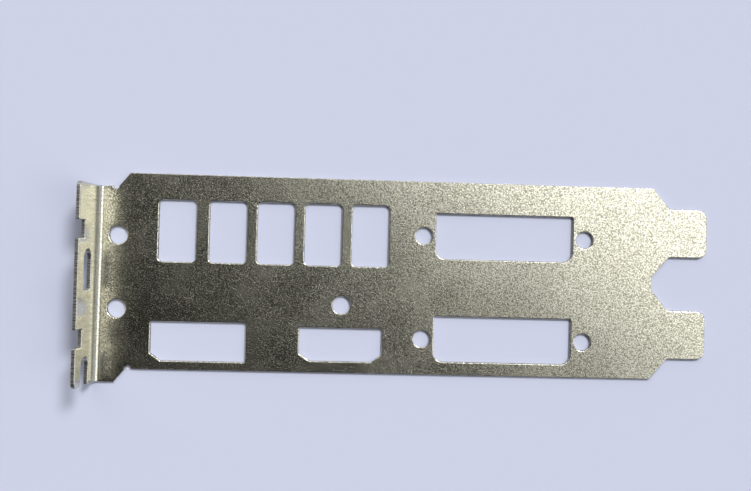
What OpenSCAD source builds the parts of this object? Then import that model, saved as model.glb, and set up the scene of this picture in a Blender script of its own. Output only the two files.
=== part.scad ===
// Two-slot expansion card bracket, one piece of folded sheet steel.
//
// X = 0 is the seat of the flange, the face that lands on the case's ledge.
// Y = 0 is the centre line of the first slot; the second lies at -Y.
// Z = 0 is the back of the plate, and the flange stands up along +Z.

/* [Sheet] */
// Thickness of the sheet
sheet_t = 0.8; // [0.6:0.05:1.2]
// Inside radius of the bend between plate and flange
bend_r = 1.0; // [0.5:0.1:1.5]

/* [Plate] */
// Distance between the centre lines of neighbouring slots
slot_pitch = 20.32; // [16.9:0.01:25]
// Width of plate that belongs to one slot
slot_plate_w = 17.8; // [16:0.1:20]
// From the flange's seat to the tips of the tongues
seat_to_tip = 120.02; // [118:0.01:150]

/* [Tongues] */
// Width of a tongue
tongue_w = 9.7; // [8:0.1:12]
// Length of a tongue beyond its sloped shoulders
tongue_len = 7.6; // [5:0.1:9]
// Radius of a tongue's tip corners
tongue_r = 1.7; // [0.5:0.1:3]
// Length along X of the sloped shoulders beside a tongue
shoulder_run = 3.4; // [2:0.1:5]
// Fillet radius where a shoulder meets its tongue
shoulder_r = 0.8; // [0.3:0.1:1.5]

/* [Flange] */
// Height of the flange's free edge above the back of the plate
flange_h = 11.43; // [10:0.01:14]
// Distance that the flange sits to the -Y side of the plate
flange_shift = 2.65; // [1:0.05:4]
// Corner radius of the flange's free edge
flange_r = 1.0; // [0.3:0.1:2]
// From the seat to the slanted steps between flange and plate
step_x = 3.7; // [3:0.1:4.5]
// Length along X of the slanted steps
step_run = 2.15; // [1.5:0.05:3]
// Radius of the relief notches beside the steps
relief_r = 0.55; // [0.3:0.05:0.7]

/* [Case screw slots in the flange] */
// Width of a screw slot
screw_slot_w = 4.2; // [3.6:0.1:5]
// Length of the closed screw slot, from its round end to its square end
screw_slot_len = 7.75; // [6:0.05:9]
// Height of the slots' centre line above the back of the plate
screw_slot_h = 6.35; // [5.5:0.05:7]
// From a slot's line to the top of its round end
screw_slot_y = 6.2; // [5.5:0.1:8]

/* [Locating notches in the flange] */
// Width of a notch
notch_w = 3.4; // [2:0.1:4.5]
// Depth of a notch, from the free edge
notch_d = 3.2; // [2:0.1:4]
// From a slot's line to the middle of its notch
notch_y = 2.5; // [1:0.1:3]

/* [Large connector openings] */
// Width of an opening
large_w = 27.2; // [20:0.1:28]
// Height of an opening
large_h = 8.9; // [6:0.1:11]
// Radius of the two lower corners
large_r = 1.9; // [0.5:0.1:3]
// From the seat to the middle of the openings
large_x = 79.3; // [77:0.1:90]
// From a slot's line to the middle of its opening
large_y = 1.85; // [0.5:0.05:3]
// Diameter of the screw holes beside an opening
large_screw_d = 3.3; // [2.5:0.1:3.5]
// Sheet left between an opening and each of its screw holes
large_screw_web = 0.75; // [0.5:0.05:2]

/* [Wide and small port openings] */
// Width of the wide port
wide_w = 18.4; // [14:0.1:20]
// Height of the wide port
wide_h = 7.6; // [5:0.1:8]
// From the seat to the middle of the wide port
wide_x = 19.7; // [18:0.1:24]
// Width of the small port
small_w = 16.2; // [12:0.1:18]
// Height of the small port
small_h = 6.5; // [5:0.1:8]
// From the seat to the middle of the small port
small_x = 47.4; // [45:0.1:50]
// From the second slot's line to the middle of both ports
port_y = 3.4; // [2.5:0.1:4]
// Length of a port's cut corners along X
port_cut_x = 2.1; // [1:0.1:3]
// Length of a port's cut corners along Y
port_cut_y = 1.45; // [0.5:0.05:2.5]

/* [Vents] */
// Width of a vent
vent_w = 7.25; // [5:0.05:8]
// Height of a vent
vent_h = 12.05; // [8:0.05:13]
// Corner radius of a vent
vent_r = 0.9; // [0.3:0.1:2]
// From the seat to the middle of the first vent
vent_x = 15.15; // [14:0.05:17]
// From the first vent to the second
vent_first_step = 9.8; // [9:0.1:10.5]
// Distance between the other vents
vent_pitch = 9.27; // [8.5:0.01:10]
// From the first slot's line to the middle of the vents
vent_y = 2.2; // [1:0.1:3]

/* [Fixing holes] */
// Diameter of the fixing holes
fixing_d = 3.5; // [2.5:0.1:4]
// From the seat to the two holes beside the flange
fixing_x = 3.85; // [3.5:0.05:6]
// From the first slot's line to the first of the two
fixing_y = 3.3; // [2:0.1:5]
// Distance between the two
fixing_pitch = 14.3; // [12:0.1:16]
// From the second slot's line up to the hole above the small port
port_hole_y = 4.4; // [3.7:0.1:5]

/* [Hidden] */
$fn = 64;

// Centre lines of the two slots
slot_lines = [0, -slot_pitch];
second_slot = slot_lines[1];

// Long edges of the plate, and the ends of the flange
plate_top = slot_plate_w / 2;
plate_bottom = second_slot - slot_plate_w / 2;
flange_top = plate_top - flange_shift;
flange_bottom = plate_bottom - flange_shift;
step_end_x = step_x + step_run;

// Where the tongues and their shoulders begin
tongue_x = seat_to_tip - tongue_len;
shoulder_x = tongue_x - shoulder_run;
shoulder_slope = atan2((slot_plate_w - tongue_w) / 2, shoulder_run);

// Distance between the two screw holes beside a large opening
large_screw_pitch = large_w + large_screw_d + 2 * large_screw_web;

// Columns of the vents
vent_columns = [vent_x, for (i = [0:3]) vent_x + vent_first_step + i * vent_pitch];

// Height at which the bend ends and the upright part of the flange begins
bend_top = sheet_t + bend_r;

// Extra length of a cut that runs out past an edge
past = 1;

// ---- Shapes that repeat ----

// Rectangle centred on the origin, with its two lower corners rounded
module lower_rounded(w, h, r) {
    translate([-w / 2, r - h / 2])
        square([w, h - r]);
    translate([r - w / 2, -h / 2])
        square([w - 2 * r, h]);
    for (side = [-1, 1])
        translate([side * (w / 2 - r), r - h / 2])
            circle(r);
}

// Rectangle centred on the origin, with all four corners rounded
module all_rounded(w, h, r) {
    intersection() {
        lower_rounded(w, h, r);
        mirror([0, 1])
            lower_rounded(w, h, r);
    }
}

// Port with its lower corners cut at a slant: right is cut only if both is true
module port(w, h, both) {
    cut_right = both ? 1 : 0;
    polygon([
        [-w / 2, h / 2],
        [w / 2, h / 2],
        [w / 2, cut_right * port_cut_y - h / 2],
        [w / 2 - cut_right * port_cut_x, -h / 2],
        [port_cut_x - w / 2, -h / 2],
        [-w / 2, port_cut_y - h / 2]
    ]);
}

// ---- Outline of the plate ----

// Plate from the bend to the shoulders, stepped sideways to the flange
module plate_outline() {
    polygon([
        [bend_r, flange_top],
        [step_x, flange_top],
        [step_end_x, plate_top],
        [shoulder_x, plate_top],
        [shoulder_x, plate_bottom],
        [step_end_x, plate_bottom],
        [step_x, flange_bottom],
        [bend_r, flange_bottom]
    ]);
}

// Round the inner corner between a tongue and its +Y shoulder
module shoulder_fillet() {
    tangent = shoulder_r * tan(shoulder_slope / 2);
    difference() {
        polygon([
            [tongue_x, 0],
            [tongue_x + tangent, 0],
            [tongue_x + tangent, tongue_w / 2],
            [
                tongue_x - tangent * cos(shoulder_slope),
                tongue_w / 2 + tangent * sin(shoulder_slope)
            ]
        ]);
        translate([tongue_x + tangent, tongue_w / 2 + shoulder_r])
            circle(shoulder_r);
    }
}

// One tongue on the X axis: sloped shoulders and a tip with round corners
module tongue_outline() {
    polygon([
        [shoulder_x, slot_plate_w / 2],
        [tongue_x, tongue_w / 2],
        [tongue_x, -tongue_w / 2],
        [shoulder_x, -slot_plate_w / 2]
    ]);
    translate([tongue_x, -tongue_w / 2])
        square([tongue_len - tongue_r, tongue_w]);
    translate([tongue_x, tongue_r - tongue_w / 2])
        square([tongue_len, tongue_w - 2 * tongue_r]);
    for (side = [-1, 1])
        translate([seat_to_tip - tongue_r, side * (tongue_w / 2 - tongue_r)])
            circle(tongue_r);
    shoulder_fillet();
    mirror([0, 1])
        shoulder_fillet();
}

// ---- Cuts in the plate ----

// Relief notches that keep the bend from tearing the sheet at the steps
module relief_notches() {
    translate([step_x - relief_r, flange_top])
        circle(relief_r);
    translate([step_end_x + relief_r, plate_bottom])
        circle(relief_r);
}

// One large connector opening with a screw hole on each side of it, per slot
module large_openings() {
    for (line = slot_lines)
        translate([large_x, line - large_y]) {
            lower_rounded(large_w, large_h, large_r);
            for (side = [-1, 1])
                translate([side * large_screw_pitch / 2, 0])
                    circle(d = large_screw_d);
        }
}

// Wide and small ports along the second slot
module port_openings() {
    translate([wide_x, second_slot - port_y])
        port(wide_w, wide_h, false);
    translate([small_x, second_slot - port_y])
        port(small_w, small_h, true);
}

// Row of vents along the first slot
module vents() {
    for (x = vent_columns)
        translate([x, -vent_y])
            all_rounded(vent_w, vent_h, vent_r);
}

// Two holes beside the flange, and one above the small port
module fixing_holes() {
    for (i = [0, 1])
        translate([fixing_x, -fixing_y - i * fixing_pitch])
            circle(d = fixing_d);
    translate([small_x, second_slot + port_hole_y])
        circle(d = fixing_d);
}

// ---- Outline and cuts of the flange: 2D X runs along Y, 2D Y runs along Z ----

// Upright part of the flange, with its two free corners rounded
module flange_outline() {
    flange_w = flange_top - flange_bottom;
    upright_h = flange_h - bend_top;
    translate([flange_bottom, bend_top])
        square([flange_w, upright_h - flange_r]);
    translate([flange_bottom + flange_r, bend_top])
        square([flange_w - 2 * flange_r, upright_h]);
    for (y = [flange_bottom + flange_r, flange_top - flange_r])
        translate([y, flange_h - flange_r])
            circle(flange_r);
}

// Square notch in the free edge, one per slot
module locating_notches() {
    for (line = slot_lines)
        translate([line - notch_y - notch_w / 2, flange_h - notch_d])
            square([notch_w, notch_d + past]);
}

// Screw slot with a round end towards +Y and a square end, len long over both
module screw_slot(line, len) {
    round_y = line - screw_slot_y - screw_slot_w / 2;
    translate([round_y, screw_slot_h])
        circle(d = screw_slot_w);
    translate([line - screw_slot_y - len, screw_slot_h - screw_slot_w / 2])
        square([len - screw_slot_w / 2, screw_slot_w]);
}

// Closed slot for the first screw, and an open one that runs out of the end
module screw_slots() {
    open_len = second_slot - screw_slot_y - flange_bottom + past;
    screw_slot(slot_lines[0], screw_slot_len);
    screw_slot(second_slot, open_len);
}

// ---- The folded sheet ----

// Flat part, lying on Z = 0
module flat_part() {
    linear_extrude(sheet_t)
        difference() {
            union() {
                plate_outline();
                for (line = slot_lines)
                    translate([0, line])
                        tongue_outline();
            }
            relief_notches();
            large_openings();
            port_openings();
            vents();
            fixing_holes();
        }
}

// Quarter turn of the sheet between the flat part and the upright part
module bend() {
    translate([bend_r, flange_top, bend_top])
        rotate([90, 0, 0])
            rotate([0, 0, 180])
                rotate_extrude(angle = 90)
                    translate([bend_r, 0])
                        square([sheet_t, flange_top - flange_bottom]);
}

// Upright part of the flange, with its seat on X = 0
module upright_part() {
    translate([-sheet_t, 0, 0])
        rotate([90, 0, 90])
            linear_extrude(sheet_t)
                difference() {
                    flange_outline();
                    locating_notches();
                    screw_slots();
                }
}

module bracket() {
    color([0.66, 0.66, 0.58]) {
        flat_part();
        bend();
        upright_part();
    }
}

bracket();
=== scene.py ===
"""Looks of a double-width expansion slot bracket: one stamped and folded sheet of plated steel.

The sheet is developed flat from the CAD node, its cut edges are rounded, and it is folded up again.
"""

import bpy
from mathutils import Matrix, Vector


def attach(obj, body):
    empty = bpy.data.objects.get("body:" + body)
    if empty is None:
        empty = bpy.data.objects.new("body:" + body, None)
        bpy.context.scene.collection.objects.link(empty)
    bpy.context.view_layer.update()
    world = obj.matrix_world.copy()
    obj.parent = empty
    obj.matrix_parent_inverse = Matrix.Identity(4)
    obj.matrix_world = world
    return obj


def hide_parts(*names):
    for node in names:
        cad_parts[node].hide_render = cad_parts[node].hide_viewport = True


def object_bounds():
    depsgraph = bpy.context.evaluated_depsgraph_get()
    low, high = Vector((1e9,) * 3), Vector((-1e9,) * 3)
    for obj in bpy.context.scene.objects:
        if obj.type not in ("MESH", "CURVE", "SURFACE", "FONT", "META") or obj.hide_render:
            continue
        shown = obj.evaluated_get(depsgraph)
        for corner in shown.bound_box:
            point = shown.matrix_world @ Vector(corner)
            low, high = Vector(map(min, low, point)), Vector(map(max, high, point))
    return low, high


bl_info = {
    "name": "Expansion Slot Bracket",
    "version": (1, 0, 0),
    "blender": (4, 5, 0),
    "location": "View3D > Sidebar > Bracket",
    "description": "Builds the plated sheet, its finish and a plain studio around it",
    "category": "Object",
}

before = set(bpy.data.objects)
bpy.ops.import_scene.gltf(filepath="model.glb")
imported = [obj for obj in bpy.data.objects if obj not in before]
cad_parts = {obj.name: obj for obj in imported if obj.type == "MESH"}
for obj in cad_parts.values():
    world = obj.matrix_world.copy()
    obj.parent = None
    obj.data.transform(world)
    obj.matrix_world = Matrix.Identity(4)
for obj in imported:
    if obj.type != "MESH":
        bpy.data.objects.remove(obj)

from math import pi, radians

import bpy
import numpy as np
from bpy.props import FloatProperty, FloatVectorProperty, IntProperty, PointerProperty
from mathutils import Vector
from mathutils.geometry import delaunay_2d_cdt

NODE = "bracket"
BODY = "root"
MM = 0.001
CAD_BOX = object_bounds()

# The flange's seat is at X = 0, so the CAD box reaches past it by the sheet's thickness
SHEET = -CAD_BOX[0].x


# ---- Settings ----


class BracketSheetSettings(bpy.types.PropertyGroup):
    """Sizes of the rounded sheet"""

    bend_radius: FloatProperty(
        name="Bend radius", description="Inside radius of the fold between plate and flange",
        default=1.0 * MM, unit="LENGTH", precision=5)
    roll: FloatProperty(
        name="Rolled edge", description="Radius that the punch leaves on the face's edges",
        default=0.22 * MM, min=0.02 * MM, max=0.4 * MM, unit="LENGTH", precision=5)
    burr_side: FloatProperty(
        name="Back edge", description="Small radius on the back's edges",
        default=0.07 * MM, min=0.01 * MM, max=0.3 * MM, unit="LENGTH", precision=5)
    corner: FloatProperty(
        name="Corner radius", description="Radius in plan of the corners that the punch leaves sharp",
        default=0.25 * MM, min=0.05 * MM, max=0.5 * MM, unit="LENGTH", precision=5)
    corner_steps: IntProperty(
        name="Corner steps", description="Stations along the edge at each corner",
        default=5, min=3, max=9)
    roll_steps: IntProperty(
        name="Roll steps", description="Points across each rounded edge",
        default=6, min=3, max=12)
    fold_rows: IntProperty(
        name="Fold rows", description="Rows of points across the fold",
        default=14, min=6, max=30)
    fold_spacing: FloatProperty(
        name="Fold spacing", description="Distance between those points along the fold",
        default=0.6 * MM, unit="LENGTH", precision=5)


class BracketFinishSettings(bpy.types.PropertyGroup):
    """Colours and grain of the plated steel"""

    # Crest colour: the plating's own colour with a painted glint, much lighter than the hollows
    plating: FloatVectorProperty(
        name="Plating", description="Colour of the plating on the crests of its grain",
        default=(0.93, 0.91, 0.80), subtype="COLOR", min=0, max=1)
    # Hollow colour: the plating's own colour with painted shade, much darker than the crests
    plating_and_hollow_shade: FloatVectorProperty(
        name="Plating in the hollows", description="Colour of the plating between the crests",
        default=(0.30, 0.29, 0.225), subtype="COLOR", min=0, max=1)
    cut_edge: FloatVectorProperty(
        name="Cut edge", description="Colour of the sheared edges",
        default=(0.55, 0.55, 0.52), subtype="COLOR", min=0, max=1)
    cut_dark: FloatVectorProperty(
        name="Shear marks", description="Colour of the dark marks across the sheared edges",
        default=(0.20, 0.19, 0.17), subtype="COLOR", min=0, max=1)
    grain_size: FloatProperty(
        name="Grain size", description="Distance between neighbouring crests of the pebbled grain",
        default=0.29 * MM, unit="LENGTH", precision=5)
    grain_height: FloatProperty(
        name="Grain height", description="Height of the crests above the hollows",
        default=0.004 * MM, unit="LENGTH", precision=5)
    gloss_low: FloatProperty(
        name="Roughness of crests", description="Roughness of the plating on its crests",
        default=0.18, min=0, max=1)
    gloss_high: FloatProperty(
        name="Roughness of hollows", description="Roughness of the plating between its crests",
        default=0.24, min=0, max=1)


class BracketStudioSettings(bpy.types.PropertyGroup):
    """Floor, lights and camera"""

    floor: FloatVectorProperty(
        name="Floor", description="Colour of the pale table",
        default=(0.655, 0.685, 0.850), subtype="COLOR", min=0, max=1)
    floor_radius: FloatProperty(
        name="Floor radius", description="Radius of the round table top",
        default=60.0, unit="LENGTH")
    bright_wall: FloatVectorProperty(
        name="Bright wall", description="Colour of the studio's wall low on the lamp's side",
        default=(0.60, 0.62, 0.70), subtype="COLOR", min=0, max=1)
    dark_wall: FloatVectorProperty(
        name="Dark wall", description="Colour of the studio's wall low on the other side",
        default=(0.05, 0.055, 0.07), subtype="COLOR", min=0, max=1)
    ceiling: FloatVectorProperty(
        name="Ceiling", description="Colour of the dim ceiling on the far side from the lamp",
        default=(0.008, 0.008, 0.007), subtype="COLOR", min=0, max=1)
    glow: FloatVectorProperty(
        name="Glow", description="Colour of the ceiling near the lamp",
        default=(2.45, 2.45, 2.36), subtype="COLOR", min=0, max=3)
    lamp_strength: FloatProperty(
        name="Lamp", description="Light of the far soft lamp on a surface that faces it",
        default=1.8, min=0)
    lamp_width: FloatProperty(
        name="Lamp width", description="Angle that the lamp fills, which softens the shadows",
        default=radians(14), subtype="ANGLE")
    lamp_turn: FloatProperty(
        name="Lamp turn", description="Angle of the lamp from +X towards +Y",
        default=radians(50), subtype="ANGLE")
    lamp_tilt: FloatProperty(
        name="Lamp tilt", description="Angle of the lamp from straight overhead",
        default=radians(36), subtype="ANGLE")
    camera_place: FloatVectorProperty(
        name="Camera", description="Place of the camera",
        default=(56.892 * MM, -6.384 * MM, 180.016 * MM), subtype="TRANSLATION", precision=5)
    camera_turn: FloatVectorProperty(
        name="Camera turn", description="Turns of the camera about X, Y and Z, from looking straight down",
        default=(radians(0.789), radians(-2.801), radians(1.534)), subtype="EULER")
    lens: FloatProperty(
        name="Lens", description="Focal length for a 36 mm wide sensor",
        default=43.52, unit="CAMERA")
    shift: FloatProperty(
        name="Shift", description="Sideways shift of the lens, as a share of the frame's width",
        default=-0.0799)


GROUPS = {
    "bracket_sheet": BracketSheetSettings,
    "bracket_finish": BracketFinishSettings,
    "bracket_studio": BracketStudioSettings,
}


# ---- Mesh ----

# A turn of the outline above this is a corner of its own, and below it a step of a curve
CORNER_TURN = radians(28)
# Share of an edge that the arc at each of its ends may take
ARC_SHARE = 0.45
# Share of a corner's own radius that the rounded edge may take
EDGE_SHARE = 0.6
# Depth under which a point lies on the face
FACE_DEPTH = 1e-6


def put_mesh(name, points, faces, normals):
    """New object at the origin from arrays of points, triangles or quads, and one normal per point."""
    mesh = bpy.data.meshes.new(name)
    mesh.from_pydata(points.tolist(), [], [f for part in faces for f in part.tolist()])
    mesh.validate()
    mesh.polygons.foreach_set("use_smooth", np.ones(len(mesh.polygons), bool))
    if normals is not None:
        mesh.normals_split_custom_set_from_vertices(normals.tolist())
    obj = bpy.data.objects.new(name, mesh)
    bpy.context.scene.collection.objects.link(obj)
    return obj


class FoldedSheet:
    """The sheet laid flat: s runs along the length, y across it, and depth from its face to its back.

    s is 0 where the plate meets the fold. The fold turns a quarter about its centre, which lies
    bend_radius beyond the plate's start and bend_radius above its face, and s shrinks by
    bend_radius times the angle. Beyond the fold, s shrinks as the flange rises.
    """

    def __init__(self, bend_radius, thickness):
        self.radius = bend_radius
        self.thickness = thickness
        self.centre = (bend_radius, thickness + bend_radius)
        self.fold_length = bend_radius * pi / 2

    def unfold(self, points):
        """(s, y, depth) of points on the folded sheet: angle and distance about the fold's centre
        inside the fold, and shifted X or Z outside it."""
        x, y, z = points.T
        dx, dz = self.centre[0] - x, self.centre[1] - z
        angle = np.arctan2(dx, dz)
        s = -self.radius * angle
        depth = np.hypot(dx, dz) - self.radius
        plate, flange = dx <= 1e-7, dz <= 1e-7
        s = np.where(plate, -dx, np.where(flange, -self.fold_length + dz, s))
        depth = np.where(plate, self.thickness - z, np.where(flange, -x, depth))
        return np.stack([s, y, depth], 1)

    def fold(self, flat, direction=None):
        """Point at (s, y, depth): a turn of angle = clip(-s / radius, 0, quarter turn) about the centre,
        at radius + depth from it, plus the straight run left over. A direction is turned likewise."""
        s, y, depth = flat.T
        angle = np.clip(-s / self.radius, 0, pi / 2)
        sin, cos = np.sin(angle), np.cos(angle)
        on_plate, on_flange = np.maximum(s, 0), np.maximum(-s - self.fold_length, 0)
        reach = self.radius + depth
        place = np.stack([
            self.centre[0] - reach * sin + on_plate,
            y,
            self.centre[1] - reach * cos + on_flange,
        ], 1)
        if direction is None:
            return place
        along, across, inwards = direction.T
        turned = np.stack([
            along * cos - inwards * sin,
            across,
            -along * sin - inwards * cos,
        ], 1)
        return place, turned


def cad_triangles(obj):
    """Merged points of a CAD node and its triangles as indices into them."""
    mesh = obj.data
    mesh.calc_loop_triangles()
    co = np.empty(len(mesh.vertices) * 3, np.float32)
    mesh.vertices.foreach_get("co", co)
    tri = np.empty(len(mesh.loop_triangles) * 3, np.int32)
    mesh.loop_triangles.foreach_get("vertices", tri)
    rounded = np.round(co.reshape(-1, 3).astype(float) / 1e-6).astype(np.int64)
    unique, first, back = np.unique(rounded, axis=0, return_index=True, return_inverse=True)
    return co.reshape(-1, 3)[first].astype(float), back.reshape(-1)[tri].reshape(-1, 3)


def face_outline(flat, triangles):
    """Corners of the face's outline and holes, with the index of each one's next corner.
    They are the edges that only one triangle of the face uses."""
    face = triangles[(flat[triangles, 2] < FACE_DEPTH).all(1)]
    face = face[(face != np.roll(face, 1, axis=1)).all(1)]
    start, end = face.ravel(), np.roll(face, -1, axis=1).ravel()
    count = len(flat)
    lone = ~np.isin(start * count + end, end * count + start)
    start, end = start[lone], end[lone]
    following = np.full(count, -1)
    following[start] = end
    kept = np.sort(start)
    place = np.full(count, -1)
    place[kept] = np.arange(len(kept))
    return flat[kept, :2], place[following[kept]]


def rounded_stations(corners, following, radius, steps):
    """Stations along the outline: at each corner P a parabolic arc from P - a*trim to P + b*trim,
    with a and b the edges' directions, and its outward normals. trim is radius*tan(half the turn) at
    a real corner, and nearly half the shorter edge where the outline is a curve.
    Also the radius of each arc, with a sign: above 0 where the sheet's corner sticks out."""
    before = np.empty_like(following)
    before[following] = np.arange(len(following))
    a = corners - corners[before]
    b = corners[following] - corners
    la, lb = np.linalg.norm(a, axis=1), np.linalg.norm(b, axis=1)
    a, b = a / la[:, None], b / lb[:, None]
    turn = np.arctan2(a[:, 0] * b[:, 1] - a[:, 1] * b[:, 0], (a * b).sum(1))
    half = np.tan(np.clip(np.abs(turn), 1e-4, 3.0) / 2)
    shorter = ARC_SHARE * np.minimum(la, lb)
    trim = np.where(np.abs(turn) > CORNER_TURN, np.minimum(radius * half, shorter), shorter)
    t = np.linspace(0, 1, steps)[None, :, None]
    p0 = (corners - a * trim[:, None])[:, None]
    p1 = corners[:, None]
    p2 = (corners + b * trim[:, None])[:, None]
    point = (1 - t) ** 2 * p0 + 2 * t * (1 - t) * p1 + t ** 2 * p2
    tangent = (1 - t) * a[:, None] + t * b[:, None]
    tangent /= np.linalg.norm(tangent, axis=2, keepdims=True)
    normal = np.stack([tangent[..., 1], -tangent[..., 0]], 2)
    arc = np.sign(turn) * trim / half
    return point, normal, np.repeat(arc[:, None], steps, 1)


def edge_profile(roll, burr, thickness, steps):
    """Section of a cut edge as (share of roll, share of burr, depth, outward part, inward part):
    a quarter circle of the roll radius, the straight cut, and a quarter circle of the burr radius.
    The shares say how far in from the outline each point lies, per unit of each radius."""
    q = np.linspace(0, pi / 2, steps)
    zero = np.zeros_like(q)
    front = np.stack([1 - np.sin(q), zero, roll * (1 - np.cos(q)), np.sin(q), -np.cos(q)], 1)
    back = np.stack([zero, 1 - np.cos(q), thickness - burr * (1 - np.sin(q)), np.cos(q), np.sin(q)], 1)
    cut = np.linspace(roll, thickness - burr, 5)[1:-1]
    one = np.ones_like(cut)
    wall = np.stack([0 * one, 0 * one, cut, one, 0 * one], 1)
    return np.concatenate([front, wall, back])


def fill_face(rim, links, extra):
    """Triangles between outlines: rim points, the index pairs that join them, and loose points
    inside, by Delaunay's rule with the outlines held. A triangle is kept where a line from its
    middle along +Y crosses the outlines an odd number of times, so the holes stay open."""
    points = np.concatenate([rim, extra]) / MM
    made = delaunay_2d_cdt([Vector(p) for p in points.tolist()], links.tolist(), [], 1, 1e-7, True)
    source = np.array([ids[0] if ids else -1 for ids in made[3]])
    triangles = source[np.array(made[2])]
    if (source < 0).any():
        raise RuntimeError("the outline crosses itself")
    a, b, c = (points[triangles[:, i]] for i in range(3))
    area = (b[:, 0] - a[:, 0]) * (c[:, 1] - a[:, 1]) - (b[:, 1] - a[:, 1]) * (c[:, 0] - a[:, 0])
    triangles[area < 0] = triangles[area < 0][:, ::-1]
    triangles = triangles[np.abs(area) > 1e-9]
    x0, y0 = points[links[:, 0]].T
    x1, y1 = points[links[:, 1]].T
    slope = (y1 - y0) / np.where(x1 == x0, 1, x1 - x0)
    kept = []
    for part in np.array_split(triangles, 16):
        x, y = points[part].mean(1).T[..., None]
        over = ((x0 <= x) != (x1 <= x)) & (y0 + (x - x0) * slope > y)
        kept.append(part[over.sum(1) % 2 == 1])
    return np.concatenate(kept)


def fold_points(outline, sheet, rows, spacing, margin):
    """Loose points in even rows across the fold, from one long side of the flange to the other."""
    near = outline[(outline[:, 0] <= 0) & (outline[:, 0] >= -sheet.fold_length)]
    low, high = near[:, 1].min() + margin, near[:, 1].max() - margin
    s = np.linspace(0, -sheet.fold_length, rows)
    y = np.linspace(low, high, int(round((high - low) / spacing)))
    s, y = np.meshgrid(s, y, indexing="ij")
    return np.stack([s.ravel(), y.ravel()], 1)


class OBJECT_OT_bracket_sheet(bpy.types.Operator):
    """Build the folded sheet with rounded edges, in place of the sharp one"""

    bl_idname = "object.bracket_sheet"
    bl_label = "Folded Sheet"

    def execute(self, context):
        s = context.scene.bracket_sheet
        sheet = FoldedSheet(s.bend_radius, SHEET)
        points, triangles = cad_triangles(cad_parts[NODE])
        flat = sheet.unfold(points)
        corners, following = face_outline(flat, triangles)
        outline, normal, arc = rounded_stations(corners, following, s.corner, s.corner_steps)

        # Where a corner sticks out, the edge's radii stay inside the corner's own
        room = np.where(arc > 0, np.minimum(1, EDGE_SHARE * np.abs(arc) / s.roll), 1)
        room = room.reshape(-1)
        outline, normal = outline.reshape(-1, 2), normal.reshape(-1, 2)
        stations = len(outline)
        steps = s.corner_steps
        ahead = np.arange(stations) + 1
        ahead[steps - 1::steps] = following * steps

        profile = edge_profile(s.roll, s.burr_side, SHEET, s.roll_steps)
        across = len(profile)
        inset = (profile[:, 0] * s.roll + profile[:, 1] * s.burr_side)[None] * room[:, None]
        place = outline[:, None] - inset[..., None] * normal[:, None]
        depth = np.broadcast_to(profile[None, :, 2], inset.shape)
        rim = np.concatenate([place, depth[..., None]], 2)
        facing = np.concatenate([
            normal[:, None] * profile[None, :, 3, None],
            np.broadcast_to(profile[None, :, 4, None], (stations, across, 1)),
        ], 2)

        i = np.arange(stations)[:, None] * across
        j = ahead[:, None] * across
        k = np.arange(across - 1)[None]
        walls = np.stack([i + k, i + k + 1, j + k + 1, j + k], 2).reshape(-1, 4)

        extra = fold_points(outline, sheet, s.fold_rows, s.fold_spacing, 1.5 * s.roll)
        links = np.stack([np.arange(stations), ahead], 1)
        total = stations * across
        front = fill_face(place[:, 0], links, extra)
        back = fill_face(place[:, -1], links, extra)
        front = np.where(front < stations, front * across, total + front - stations)
        back = np.where(back < stations, back * across + across - 1,
                        total + len(extra) + back - stations)[:, ::-1]

        level = np.zeros((len(extra), 1))
        flat_points = np.concatenate([
            rim.reshape(-1, 3),
            np.concatenate([extra, level], 1),
            np.concatenate([extra, level + SHEET], 1),
        ])
        straight = np.repeat([[0.0, 0.0, -1.0]], len(extra), 0)
        directions = np.concatenate([facing.reshape(-1, 3), straight, -straight])
        folded, turned = sheet.fold(flat_points, directions)

        obj = put_mesh("bracket_sheet", folded, [walls, front, back], turned)
        developed = obj.data.attributes.new("developed", "FLOAT_VECTOR", "POINT")
        developed.data.foreach_set("vector", flat_points.astype(np.float32).ravel())
        cut = np.concatenate([np.tile(profile[:, 3] ** 2, stations), np.zeros(2 * len(extra))])
        sheared = obj.data.attributes.new("sheared", "FLOAT", "POINT")
        sheared.data.foreach_set("value", cut.astype(np.float32))
        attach(obj, BODY)
        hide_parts(NODE)
        return {"FINISHED"}


# ---- Finish ----

# Fine grain and single crystals of the plating, each as a count per coarse crest
FINE_GRAIN = 2.1
CRYSTALS = 1.7
# Stretch of the developed sheet over which the grain goes from rubbed flat to whole
RUBBED_STRETCH = (-1.2 * MM, 1.5 * MM)
# How much of the grain is rubbed away, and the level that is left
RUBBED_AWAY = 0.75
RUBBED_LEVEL = 0.40
# Clouds per metre of sheet
CLOUDS = 90.0
# Shear marks per metre along the edge, and per metre through the sheet
SHEAR_MARKS = (5200.0, 5200.0, 500.0)


class Wire:
    """A socket's value in shader maths: an expression on wires adds its Math nodes."""

    def __init__(self, build, socket):
        self.build, self.socket = build, socket

    def _math(self, operation, a, b):
        return self.build.node("ShaderNodeMath", {"operation": operation}, {0: a, 1: b})

    def __add__(self, other):
        return self._math("ADD", self, other)

    def __radd__(self, other):
        return self._math("ADD", other, self)

    def __sub__(self, other):
        return self._math("SUBTRACT", self, other)

    def __rsub__(self, other):
        return self._math("SUBTRACT", other, self)

    def __mul__(self, other):
        return self._math("MULTIPLY", self, other)

    def __rmul__(self, other):
        return self._math("MULTIPLY", other, self)


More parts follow.
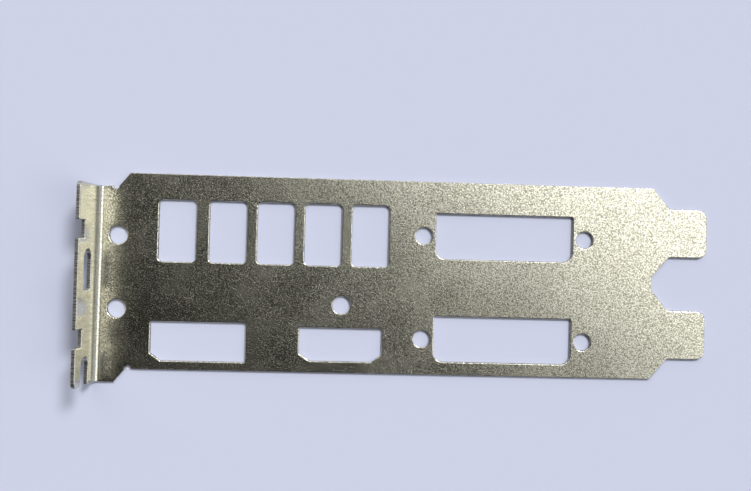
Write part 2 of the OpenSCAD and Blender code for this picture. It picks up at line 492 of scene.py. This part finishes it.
class Shader:
    """A material's or the world's nodes, started empty."""

    def __init__(self, owner):
        owner.use_nodes = True
        self.tree = owner.node_tree
        self.tree.nodes.clear()

    def node(self, kind, settings=None, inputs=None, output=0):
        """Adds a node with its settings, then its sockets' values or links, and returns one output."""
        node = self.tree.nodes.new(kind)
        for key, value in (settings or {}).items():
            setattr(node, key, value)
        for key, value in (inputs or {}).items():
            if isinstance(value, Wire):
                self.tree.links.new(value.socket, node.inputs[key])
            else:
                node.inputs[key].default_value = value
        return Wire(self, node.outputs[output]) if len(node.outputs) else node

    def smooth(self, value, low, high):
        """0 below low, 1 above high, and a smooth step between."""
        return self.node("ShaderNodeMapRange", {"interpolation_type": "SMOOTHSTEP"},
                         {"Value": value, "From Min": low, "From Max": high})

    def noise(self, vector, scale, detail=2.0, distortion=0.0):
        """Noise of one pattern per 1/scale metres, mostly between 0.3 and 0.7."""
        return self.node("ShaderNodeTexNoise", {"noise_dimensions": "3D"}, {
            "Vector": vector, "Scale": scale, "Detail": detail, "Distortion": distortion})

    def mix(self, factor, a, b):
        """Colour a where factor is 0 and b where it is 1."""
        a = a if isinstance(a, Wire) else (*a, 1.0)
        b = b if isinstance(b, Wire) else (*b, 1.0)
        return self.node("ShaderNodeMix", {"data_type": "RGBA"}, {"Factor": factor, 6: a, 7: b}, 2)

    def stretched(self, vector, scale):
        """Coordinates multiplied by one factor per axis."""
        return self.node("ShaderNodeVectorMath", {"operation": "MULTIPLY"}, {0: vector, 1: scale})


class OBJECT_OT_bracket_finish(bpy.types.Operator):
    """Give the sheet its plated, pebbled finish and its sheared edges"""

    bl_idname = "object.bracket_finish"
    bl_label = "Plated Finish"

    def execute(self, context):
        f = context.scene.bracket_finish
        material = bpy.data.materials.new("plated_steel")
        b = Shader(material)
        developed = b.node("ShaderNodeAttribute", {"attribute_name": "developed"}, {}, 1)
        sheared = b.node("ShaderNodeAttribute", {"attribute_name": "sheared"}, {}, 2)

        # Pebbled grain, of crests and hollows that run into each other, with crystals of its own; it also
        # places the painted glint and painted shade in the colour
        coarse = b.noise(developed, 1 / f.grain_size, 1.0, 0.3)
        fine = b.noise(developed, FINE_GRAIN / f.grain_size, 0.0)
        cells = b.node("ShaderNodeTexVoronoi", {}, {
            "Vector": developed, "Scale": CRYSTALS / f.grain_size}, 1)
        crystals = b.node("ShaderNodeSeparateXYZ", {}, {0: cells})
        pebbles = b.smooth(coarse * 0.45 + fine * 0.25 + crystals * 0.30, 0.36, 0.66)

        # The folding tool rubbed the grain flat over the fold and the flange
        along = b.node("ShaderNodeSeparateXYZ", {}, {0: developed})
        rubbed = 1 - b.smooth(along, *RUBBED_STRETCH)
        pebbles = pebbles * (1 - RUBBED_AWAY * rubbed) + RUBBED_LEVEL * rubbed

        # Long faint clouds in the plating
        clouds = b.smooth(b.noise(developed, CLOUDS, 3.0), 0.35, 0.65)

        # Marks across the sheared edges
        ribs = b.noise(b.stretched(developed, SHEAR_MARKS), 1.0, 2.0)
        ribs = b.smooth(ribs, 0.40, 0.60)
        cut = b.smooth(sheared, 0.55, 0.95)

        # Painted glint on the crests and painted shade in the hollows, laid over the plating's own grain
        plated = b.mix(pebbles, tuple(f.plating_and_hollow_shade), tuple(f.plating))
        bare = b.mix(ribs, tuple(f.cut_dark), tuple(f.cut_edge))
        colour = b.mix(cut, plated, bare)
        gloss = f.gloss_high - (f.gloss_high - f.gloss_low) * pebbles + 0.04 * clouds
        roughness = gloss * (1 - cut) + (0.5 - 0.12 * ribs) * cut
        height = pebbles * (1 - cut) + 0.5 * ribs * cut
        bump = b.node("ShaderNodeBump", {}, {
            "Strength": 1.0, "Distance": f.grain_height, "Height": height})
        surface = b.node("ShaderNodeBsdfPrincipled", {}, {
            "Base Color": colour, "Roughness": roughness, "Metallic": 1.0, "Normal": bump})
        b.node("ShaderNodeOutputMaterial", {}, {"Surface": surface})
        bpy.data.objects["bracket_sheet"].data.materials.append(material)
        return {"FINISHED"}


# ---- Studio ----

TABLE_SIDES = 64
# Leans towards the lamp between which the ceiling's glow grows, and between which it ends
GLOW_GROWS = (-0.02, 0.36)
GLOW_ENDS = (0.38, 0.60)
# Leans between which the walls go from dark to bright
WALLS_BRIGHTEN = (-0.3, 0.5)
# Sines of the elevation between which the pale strip ends, and between which the ceiling begins
STRIP_ENDS = (0.04, 0.14)
CEILING_BEGINS = (0.40, 0.65)


class OBJECT_OT_bracket_studio(bpy.types.Operator):
    """Set up the table, the soft lamp, the studio's walls and the camera"""

    bl_idname = "object.bracket_studio"
    bl_label = "Plain Studio"

    def execute(self, context):
        scene = context.scene
        s = scene.bracket_studio
        scene.view_settings.view_transform = "Standard"
        self.table(s)
        self.lamp(s)
        self.walls(scene, s)
        self.camera(scene, s)
        return {"FINISHED"}

    def table(self, s):
        """Round table top under the bracket: (radius cos t, radius sin t, 0) around a middle point."""
        turns = np.linspace(0, 2 * pi, TABLE_SIDES, endpoint=False)
        ring = s.floor_radius * np.stack([np.cos(turns), np.sin(turns), 0 * turns], 1)
        points = np.concatenate([[[0, 0, 0]], ring])
        i = np.arange(TABLE_SIDES)
        fan = np.stack([0 * i, i + 1, (i + 1) % TABLE_SIDES + 1], 1)
        obj = put_mesh("table_top", points, [fan], None)
        obj.location.z = CAD_BOX[0].z
        material = bpy.data.materials.new("table_paper")
        b = Shader(material)
        surface = b.node("ShaderNodeBsdfPrincipled", {}, {
            "Base Color": (*s.floor, 1.0), "Roughness": 0.9, "Specular IOR Level": 0.0})
        b.node("ShaderNodeOutputMaterial", {}, {"Surface": surface})
        obj.data.materials.append(material)

    def lamp(self, s):
        """Far soft lamp, so the table is as bright near the bracket as away from it."""
        data = bpy.data.lights.new("soft_lamp", "SUN")
        data.angle, data.energy = s.lamp_width, s.lamp_strength
        lamp = bpy.data.objects.new("soft_lamp", data)
        away = Vector((
            np.sin(s.lamp_tilt) * np.cos(s.lamp_turn),
            np.sin(s.lamp_tilt) * np.sin(s.lamp_turn),
            np.cos(s.lamp_tilt)))
        lamp.location = away
        lamp.rotation_euler = away.to_track_quat("Z", "Y").to_euler()
        bpy.context.scene.collection.objects.link(lamp)

    def walls(self, scene, s):
        """World: a pale strip along the table's far edge, walls and a ceiling, each of these two
        from dark to bright towards the lamp."""
        world = bpy.data.worlds.new("studio")
        scene.world = world
        b = Shader(world)
        ray = b.node("ShaderNodeTexCoord", {}, {}, 0)
        up = b.node("ShaderNodeSeparateXYZ", {}, {0: ray}, 2)
        towards = (float(np.cos(s.lamp_turn)), float(np.sin(s.lamp_turn)), 0.0)
        lean = b.node("ShaderNodeVectorMath", {"operation": "DOT_PRODUCT"}, {0: ray, 1: towards}, 1)
        glow = b.smooth(lean, *GLOW_GROWS) * (1 - b.smooth(lean, *GLOW_ENDS))
        side = b.smooth(lean, *WALLS_BRIGHTEN)
        overhead = b.mix(glow, tuple(s.ceiling), tuple(s.glow))
        walls = b.mix(side, tuple(s.dark_wall), tuple(s.bright_wall))
        high = b.smooth(up, *CEILING_BEGINS)
        room = b.mix(high, walls, overhead)
        above = b.smooth(up, *STRIP_ENDS)
        colour = b.mix(above, tuple(s.floor), room)
        background = b.node("ShaderNodeBackground", {}, {"Color": colour, "Strength": 1.0})
        b.node("ShaderNodeOutputWorld", {}, {"Surface": background})

    def camera(self, scene, s):
        """Camera above the bracket's face, a little to one side."""
        data = bpy.data.cameras.new("camera")
        data.lens, data.sensor_width, data.shift_x = s.lens, 36.0, s.shift
        data.clip_start, data.clip_end = 0.01, 100.0
        camera = bpy.data.objects.new("camera", data)
        camera.location = s.camera_place
        camera.rotation_euler = s.camera_turn
        scene.collection.objects.link(camera)
        scene.camera = camera


# ---- Panel and registration ----


class VIEW3D_PT_bracket(bpy.types.Panel):
    """Sizes, colours and steps of the bracket"""

    bl_idname = "VIEW3D_PT_bracket"
    bl_label = "Slot Bracket"
    bl_space_type = "VIEW_3D"
    bl_region_type = "UI"
    bl_category = "Bracket"

    def draw(self, context):
        layout = self.layout
        for step in STEPS:
            layout.operator(step.bl_idname)
        for name, group in GROUPS.items():
            box = layout.box()
            for key in group.__annotations__:
                box.prop(getattr(context.scene, name), key)


STEPS = (OBJECT_OT_bracket_sheet, OBJECT_OT_bracket_finish, OBJECT_OT_bracket_studio)


def register():
    for cls in (*GROUPS.values(), *STEPS, VIEW3D_PT_bracket):
        bpy.utils.register_class(cls)
    for name, group in GROUPS.items():
        setattr(bpy.types.Scene, name, PointerProperty(type=group))


def unregister():
    for name in GROUPS:
        delattr(bpy.types.Scene, name)
    for cls in reversed((*GROUPS.values(), *STEPS, VIEW3D_PT_bracket)):
        bpy.utils.unregister_class(cls)


def main():
    """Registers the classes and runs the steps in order."""
    register()
    bpy.ops.object.bracket_sheet()
    bpy.ops.object.bracket_finish()
    bpy.ops.object.bracket_studio()


if __name__ == "__main__":
    main()
